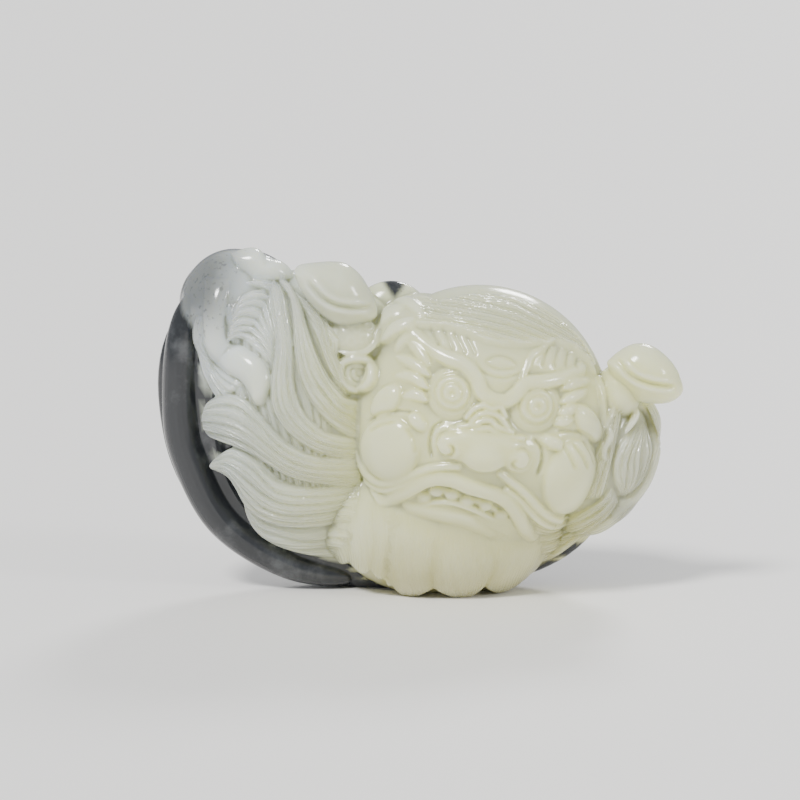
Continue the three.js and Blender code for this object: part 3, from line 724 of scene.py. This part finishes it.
def snailRelief(x, z):
    r = np.hypot(x - snail["x"], z - snail["z"])
    wind = r / snail["pitch"] - np.arctan2(z - snail["z"], x - snail["x"]) / (2 * np.pi)
    groove = np.exp(-(((wind - np.round(wind)) * snail["pitch"] / 0.14) ** 2))
    groove *= smoothStep(r, 0.2, 0.45) * (1 - smoothStep(r, 1.6, 1.85))
    disc = 1 - smoothStep(r, snail["radius"] - 0.1, snail["radius"] + 0.35)
    edge = np.exp(-(((r - snail["radius"] + 0.3) / 0.25) ** 2))
    return 1.5 * disc - 0.6 + 0.2 * edge - 0.32 * groove


makeMane()
makeEars()
patch("frill", frill, frillRelief)
patch("snail", snail, snailRelief)
print("mane shaped,", len(forms), "forms in all")

# one stone: joined, remeshed and polished
polish = {"voxel": 0.14, "smooth": 2, "triangles": 195000}


def applyModifier(piece, name, kind, **settings):
    modifier = piece.modifiers.new(name, kind)
    for key, value in settings.items():
        setattr(modifier, key, value)
    bpy.ops.object.modifier_apply(modifier=name)


def joinForms():
    bpy.ops.object.select_all(action="DESELECT")
    for blank in blanks.values():
        blank.select_set(True)
    bpy.ops.object.delete()
    for form in forms:
        form.select_set(True)
    bpy.context.view_layer.objects.active = forms[0]
    bpy.ops.object.join()
    carving = bpy.context.object
    carving.name = "jadeCarving"
    applyModifier(carving, "fuse", "REMESH", mode="VOXEL", voxel_size=polish["voxel"])
    keepOuterShell(carving)
    return carving


def keepOuterShell(carving):
    bpy.ops.object.mode_set(mode="EDIT")
    bpy.ops.mesh.select_mode(type="VERT")
    bpy.ops.mesh.select_all(action="DESELECT")
    bpy.ops.object.mode_set(mode="OBJECT")
    places = vertexPlaces(carving)
    carving.data.vertices[int(places[:, 0].argmin())].select = True
    bpy.ops.object.mode_set(mode="EDIT")
    bpy.ops.mesh.select_linked()
    bpy.ops.mesh.select_all(action="INVERT")
    bpy.ops.mesh.delete(type="VERT")
    bpy.ops.object.mode_set(mode="OBJECT")


carving = joinForms()
print("fused:", len(carving.data.polygons), "faces")
applyModifier(carving, "polish", "SMOOTH", factor=0.5, iterations=polish["smooth"])


def flattenFoot(piece):
    places = vertexPlaces(piece)
    places[:, 2] = np.maximum(places[:, 2], 0)
    setPlaces(piece, places)


flattenFoot(carving)
faces = sum(len(p.vertices) - 2 for p in carving.data.polygons)
applyModifier(carving, "thin", "DECIMATE", ratio=min(1, polish["triangles"] / faces))
print("polished:", len(carving.data.polygons), "faces")


def nearestPoint(points, queries):  # which point is nearest, and how far off
    tree = kdtree.KDTree(len(points))
    for i, p in enumerate(points):
        tree.insert(p, i)
    tree.balance()
    found = [tree.find(q)[1:] for q in queries]
    return np.array([f[0] for f in found]), np.array([f[1] for f in found])


def mark(piece, name, values):
    piece.data.attributes.new(name, "FLOAT", "POINT").data.foreach_set("value", values)


# edge of the pale skin seen from the front, x and z in mm
paleEdge = [(-26, 40.4), (-28.8, 36.6), (-28.2, 33.4), (-26.4, 30.6), (-25, 26.5), (-23.4, 25),
            (-23, 22), (-22, 19), (-21, 17), (-20.8, 14), (-20.6, 11), (-19.4, 7.6), (-16.4, 5.2),
            (-12, 4.4), (-8, 3.6), (-4, 2.4), (0, 0.6), (6, -1), (12, 1), (16, 3.6), (20, 6.6), (24, 10),
            (27.6, 15), (29, 21), (32, 25), (27, 32), (21, 30), (15, 38), (0, 39), (-3, 35.2),
            (-5.6, 39), (-14, 43), (-22, 42.5)]
darkFades = [  # dark stone showing through at the shoulder and under the jaw
    {"x": -28, "z": 38, "reach": 10.5, "most": 0.8},
    {"x": 24.5, "z": 9.6, "reach": 2.6, "most": 0.4},
]


def insideEdge(x, z):  # mm inside the pale edge, negative outside
    corners = np.array(paleEdge)
    apart = np.full(len(x), 1e9)
    inside = np.zeros(len(x), bool)
    for (ax, az), (bx, bz) in zip(corners, np.roll(corners, -1, 0)):
        t = np.clip(((x - ax) * (bx - ax) + (z - az) * (bz - az)) / ((bx - ax) ** 2 + (bz - az) ** 2), 0, 1)
        apart = np.minimum(apart, np.hypot(x - ax - t * (bx - ax), z - az - t * (bz - az)))
        if az != bz:
            inside ^= ((az > z) != (bz > z)) & (x < ax + (z - az) / (bz - az) * (bx - ax))
    return np.where(inside, apart, -apart)


def paintZones(piece):  # how much of each point is pale jade
    places = vertexPlaces(piece)
    x, y, z = places.T
    dark = nearestPoint(np.concatenate(darkPoints), places)[1]
    pale = nearestPoint(np.concatenate(palePoints), places)[1]
    share = np.maximum(smoothStep(dark - pale, -0.1, 0.5), smoothStep(insideEdge(x, z), -0.1, 0.7))
    for spot in darkFades:
        away = np.hypot(x - spot["x"], z - spot["z"])
        share *= 1 - spot["most"] * (1 - smoothStep(away, 0.3 * spot["reach"], spot["reach"]))
    share *= 1 - smoothStep(y, 2.6, 4.6)
    mark(piece, "pale", share)


def layHair(piece):  # carries the combing over to the finished stone
    nearest, apart = nearestPoint(np.concatenate(combed["places"]), vertexPlaces(piece))
    close = 1 - smoothStep(apart, 0.15, 0.5)
    mark(piece, "hair", np.concatenate(combed["lines"])[nearest])
    mark(piece, "hairDepth", np.concatenate(combed["depth"])[nearest] * close)


hollow = {"rounds": 30, "deepest": 0.3}  # evening out of the surroundings, mm


# its values drive painted shade in the hollows and a painted highlight on the ridges of the jade's colour
def markHollows(piece):  # how far each point lies below its surroundings
    places = vertexPlaces(piece)
    ends = np.empty(len(piece.data.edges) * 2, int)
    piece.data.edges.foreach_get("vertices", ends)
    a, b = ends.reshape(-1, 2).T
    count = len(places)
    joined = np.bincount(a, minlength=count) + np.bincount(b, minlength=count)
    level = places.copy()
    for _ in range(hollow["rounds"]):
        sums = [np.bincount(a, level[b, k], count) + np.bincount(b, level[a, k], count) for k in range(3)]
        level = np.stack(sums, -1) / joined[:, None]
    normals = np.empty(count * 3)
    piece.data.vertex_normals.foreach_get("vector", normals)
    below = ((level - places) * normals.reshape(-1, 3)).sum(1)
    mark(piece, "hollow", np.clip(below / hollow["deepest"], -1, 1))


paintZones(carving)
layHair(carving)
markHollows(carving)
print("stone zones and hair marked")


def seat(piece):  # mm to metres, set over the CAD solid
    places = vertexPlaces(piece) * mm
    low, high = (np.array(corner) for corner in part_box(nodeName))
    shift = (low + high) / 2 - (places.min(0) + places.max(0)) / 2
    shift[1] = high[1] - places[:, 1].max()  # backs together, they are the same pebble
    shift[2] = low[2] - places[:, 2].min()
    setPlaces(piece, places + shift)


seat(carving)
bpy.ops.object.select_all(action="DESELECT")
carving.select_set(True)
bpy.context.view_layer.objects.active = carving
bpy.ops.object.shade_smooth()


# shader sums written as Python expressions
class Socket:
    def __init__(self, tree, out):
        self.tree, self.out = tree, out

    def math(self, operation, a, b):
        return nodeOut(self.tree, "ShaderNodeMath", {"operation": operation}, {0: a, 1: b})

    def __add__(self, other):
        return self.math("ADD", self, other)

    def __radd__(self, other):
        return self.math("ADD", other, self)

    def __sub__(self, other):
        return self.math("SUBTRACT", self, other)

    def __rsub__(self, other):
        return self.math("SUBTRACT", other, self)

    def __mul__(self, other):
        return self.math("MULTIPLY", self, other)

    def __rmul__(self, other):
        return self.math("MULTIPLY", other, self)


def makeNode(tree, kind, settings=None, values=None):
    made = tree.nodes.new(kind)
    for key, value in (settings or {}).items():
        if key == "stops":
            for i, (place, colour) in enumerate(value):
                stop = made.color_ramp.elements[i] if i < 2 else made.color_ramp.elements.new(place)
                stop.position, stop.color = place, colour
        else:
            setattr(made, key, value)
    for key, value in (values or {}).items():
        if isinstance(value, Socket):
            tree.links.new(value.out, made.inputs[key])
        else:
            made.inputs[key].default_value = value
    return made


def nodeOut(tree, kind, settings=None, values=None, out=0):
    return Socket(tree, makeNode(tree, kind, settings, values).outputs[out])


jade = {
    "yellowGreen": (0.77, 0.775, 0.43, 1),
    "bluishWhite": (0.52, 0.56, 0.51, 1),
    "milkWhite": (0.70, 0.75, 0.75, 1),
    "beardYellow": (0.46, 0.43, 0.19, 1),
    "jawGrey": (0.56, 0.57, 0.41, 1),
    # painted shade for the hollows
    "paintedHollowShade": (0.36, 0.37, 0.22, 1),
    # painted highlight for the ridges
    "paintedRidgeHighlight": (0.84, 0.86, 0.70, 1),
    "darkStone": (0.018, 0.02, 0.023, 1),
    "greyCloud": (0.10, 0.105, 0.11, 1),
}


def jadeMaterial():
    material = bpy.data.materials.new("twoTonedJade")
    material.use_nodes = True
    tree = material.node_tree
    tree.nodes.clear()

    def blend(factor, a, b):
        colours = {"Factor": factor, "A": a, "B": b}
        return nodeOut(tree, "ShaderNodeMix", {"data_type": "RGBA"}, colours, out=2)

    def ramp(value, low, high):
        return nodeOut(tree, "ShaderNodeMapRange", {"interpolation_type": "SMOOTHSTEP"},
                       {"Value": value, "From Min": low, "From Max": high})

    def noise(scale, detail, roughness=0.5):
        values = {"Vector": place, "Scale": scale, "Detail": detail, "Roughness": roughness}
        return nodeOut(tree, "ShaderNodeTexNoise", values=values)

    def attribute(name):
        return nodeOut(tree, "ShaderNodeAttribute", {"attribute_name": name}, out=2)

    place = nodeOut(tree, "ShaderNodeTexCoord", out=3)
    cloud = noise(90, 4) - 0.5
    blotch = noise(160, 5, 0.6)
    apart = makeNode(tree, "ShaderNodeSeparateXYZ", values={"Vector": place})
    across, height = Socket(tree, apart.outputs[0]), Socket(tree, apart.outputs[2])
    warm = ramp(across + cloud * 0.012, -0.026, 0.0) * (1 - 0.5 * ramp(height + cloud * 0.01, 0.024, 0.038))
    low = (1 - ramp(height + cloud * 0.008, 0.0, 0.013)) * ramp(across, -0.012, 0.0)
    milky = ramp(height + cloud * 0.01, 0.02, 0.032) * (1 - ramp(across, -0.022, -0.008))
    cool = blend(milky, jade["bluishWhite"], jade["milkWhite"])
    jaw = ramp(across, 0.018, 0.024) * (1 - ramp(height, 0.02, 0.024))
    paleColour = blend(warm, cool, jade["yellowGreen"])
    paleColour = blend(low, paleColour, jade["beardYellow"])
    paleColour = blend(jaw, paleColour, jade["jawGrey"])
    # painted shade: hollows darkened towards grey-green by how deep each point lies below its surroundings
    depth = attribute("hollow")
    paleColour = blend(ramp(depth, 0.05, 1.0) * 0.5, paleColour, jade["paintedHollowShade"])
    # painted highlight: ridges lightened towards white where points stand above their surroundings
    paleColour = blend(ramp(0 - depth, 0.1, 0.9) * 0.25, paleColour, jade["paintedRidgeHighlight"])
    hair = attribute("hair")
    strands = hair.math("SINE", hair * (2 * math.pi), 0) * attribute("hairDepth")
    bump = {"Height": strands, "Strength": 0.9, "Distance": 0.00012}
    combing = nodeOut(tree, "ShaderNodeBump", values=bump)
    darkColour = blend(ramp(blotch, 0.5, 0.78), jade["darkStone"], jade["greyCloud"])
    zone = attribute("pale")
    specks = ramp(noise(1500, 2), 0.58, 0.72)
    zone = zone * (1 - 0.4 * specks * ramp(1 - zone, 0.05, 0.4))
    pale = makeNode(tree, "ShaderNodeBsdfPrincipled", values={
        "Base Color": paleColour, "Roughness": 0.17, "IOR": 1.61, "Normal": combing,
        "Subsurface Weight": 1.0, "Subsurface Radius": (1.0, 0.95, 0.7), "Subsurface Scale": 0.003})
    dark = makeNode(tree, "ShaderNodeBsdfPrincipled", values={
        "Base Color": darkColour, "Roughness": 0.14, "IOR": 1.61,
        "Subsurface Weight": 0.3, "Subsurface Radius": (1.0, 1.0, 1.0), "Subsurface Scale": 0.001})
    mix = makeNode(tree, "ShaderNodeMixShader", values={
        0: zone, 1: Socket(tree, dark.outputs[0]), 2: Socket(tree, pale.outputs[0])})
    makeNode(tree, "ShaderNodeOutputMaterial", values={"Surface": Socket(tree, mix.outputs[0])})
    return material


carving.data.materials.clear()
carving.data.materials.append(jadeMaterial())
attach(carving, "root")
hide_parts(nodeName)
print("jade finished")

# floor and soft studio light
floor = {"size": 30.0, "colour": (0.90, 0.88, 0.85, 1)}
lights = [  # name, the side it comes from, strength, width in degrees
    ("keyLight", (-0.45, -0.6, 0.9), 3.3, 14),
    ("rightFill", (0.9, -0.45, 0.4), 0.8, 10),
    ("backLight", (0.25, 0.9, 0.6), 1.4, 14),
]
worldLight = (0.80, 0.83, 0.87, 1)
worldStrength = 0.7


def makeStage():
    bpy.ops.mesh.primitive_plane_add(size=floor["size"])
    table = bpy.context.object
    table.name = "floor"
    material = bpy.data.materials.new("paleFloor")
    material.use_nodes = True
    shader = material.node_tree.nodes["Principled BSDF"]
    shader.inputs["Base Color"].default_value = floor["colour"]
    shader.inputs["Roughness"].default_value = 0.6
    table.data.materials.append(material)
    for name, side, strength, width in lights:
        bpy.ops.object.light_add(type="SUN", location=side)
        lamp = bpy.context.object
        lamp.name = name
        lamp.data.energy = strength
        lamp.data.angle = math.radians(width)
        lamp.rotation_euler = (-Vector(side)).to_track_quat("-Z", "Y").to_euler()
    world = bpy.data.worlds.new("studio")
    bpy.context.scene.world = world
    world.use_nodes = True
    background = world.node_tree.nodes["Background"]
    background.inputs["Color"].default_value = worldLight
    background.inputs["Strength"].default_value = worldStrength


makeStage()
print("stage set")
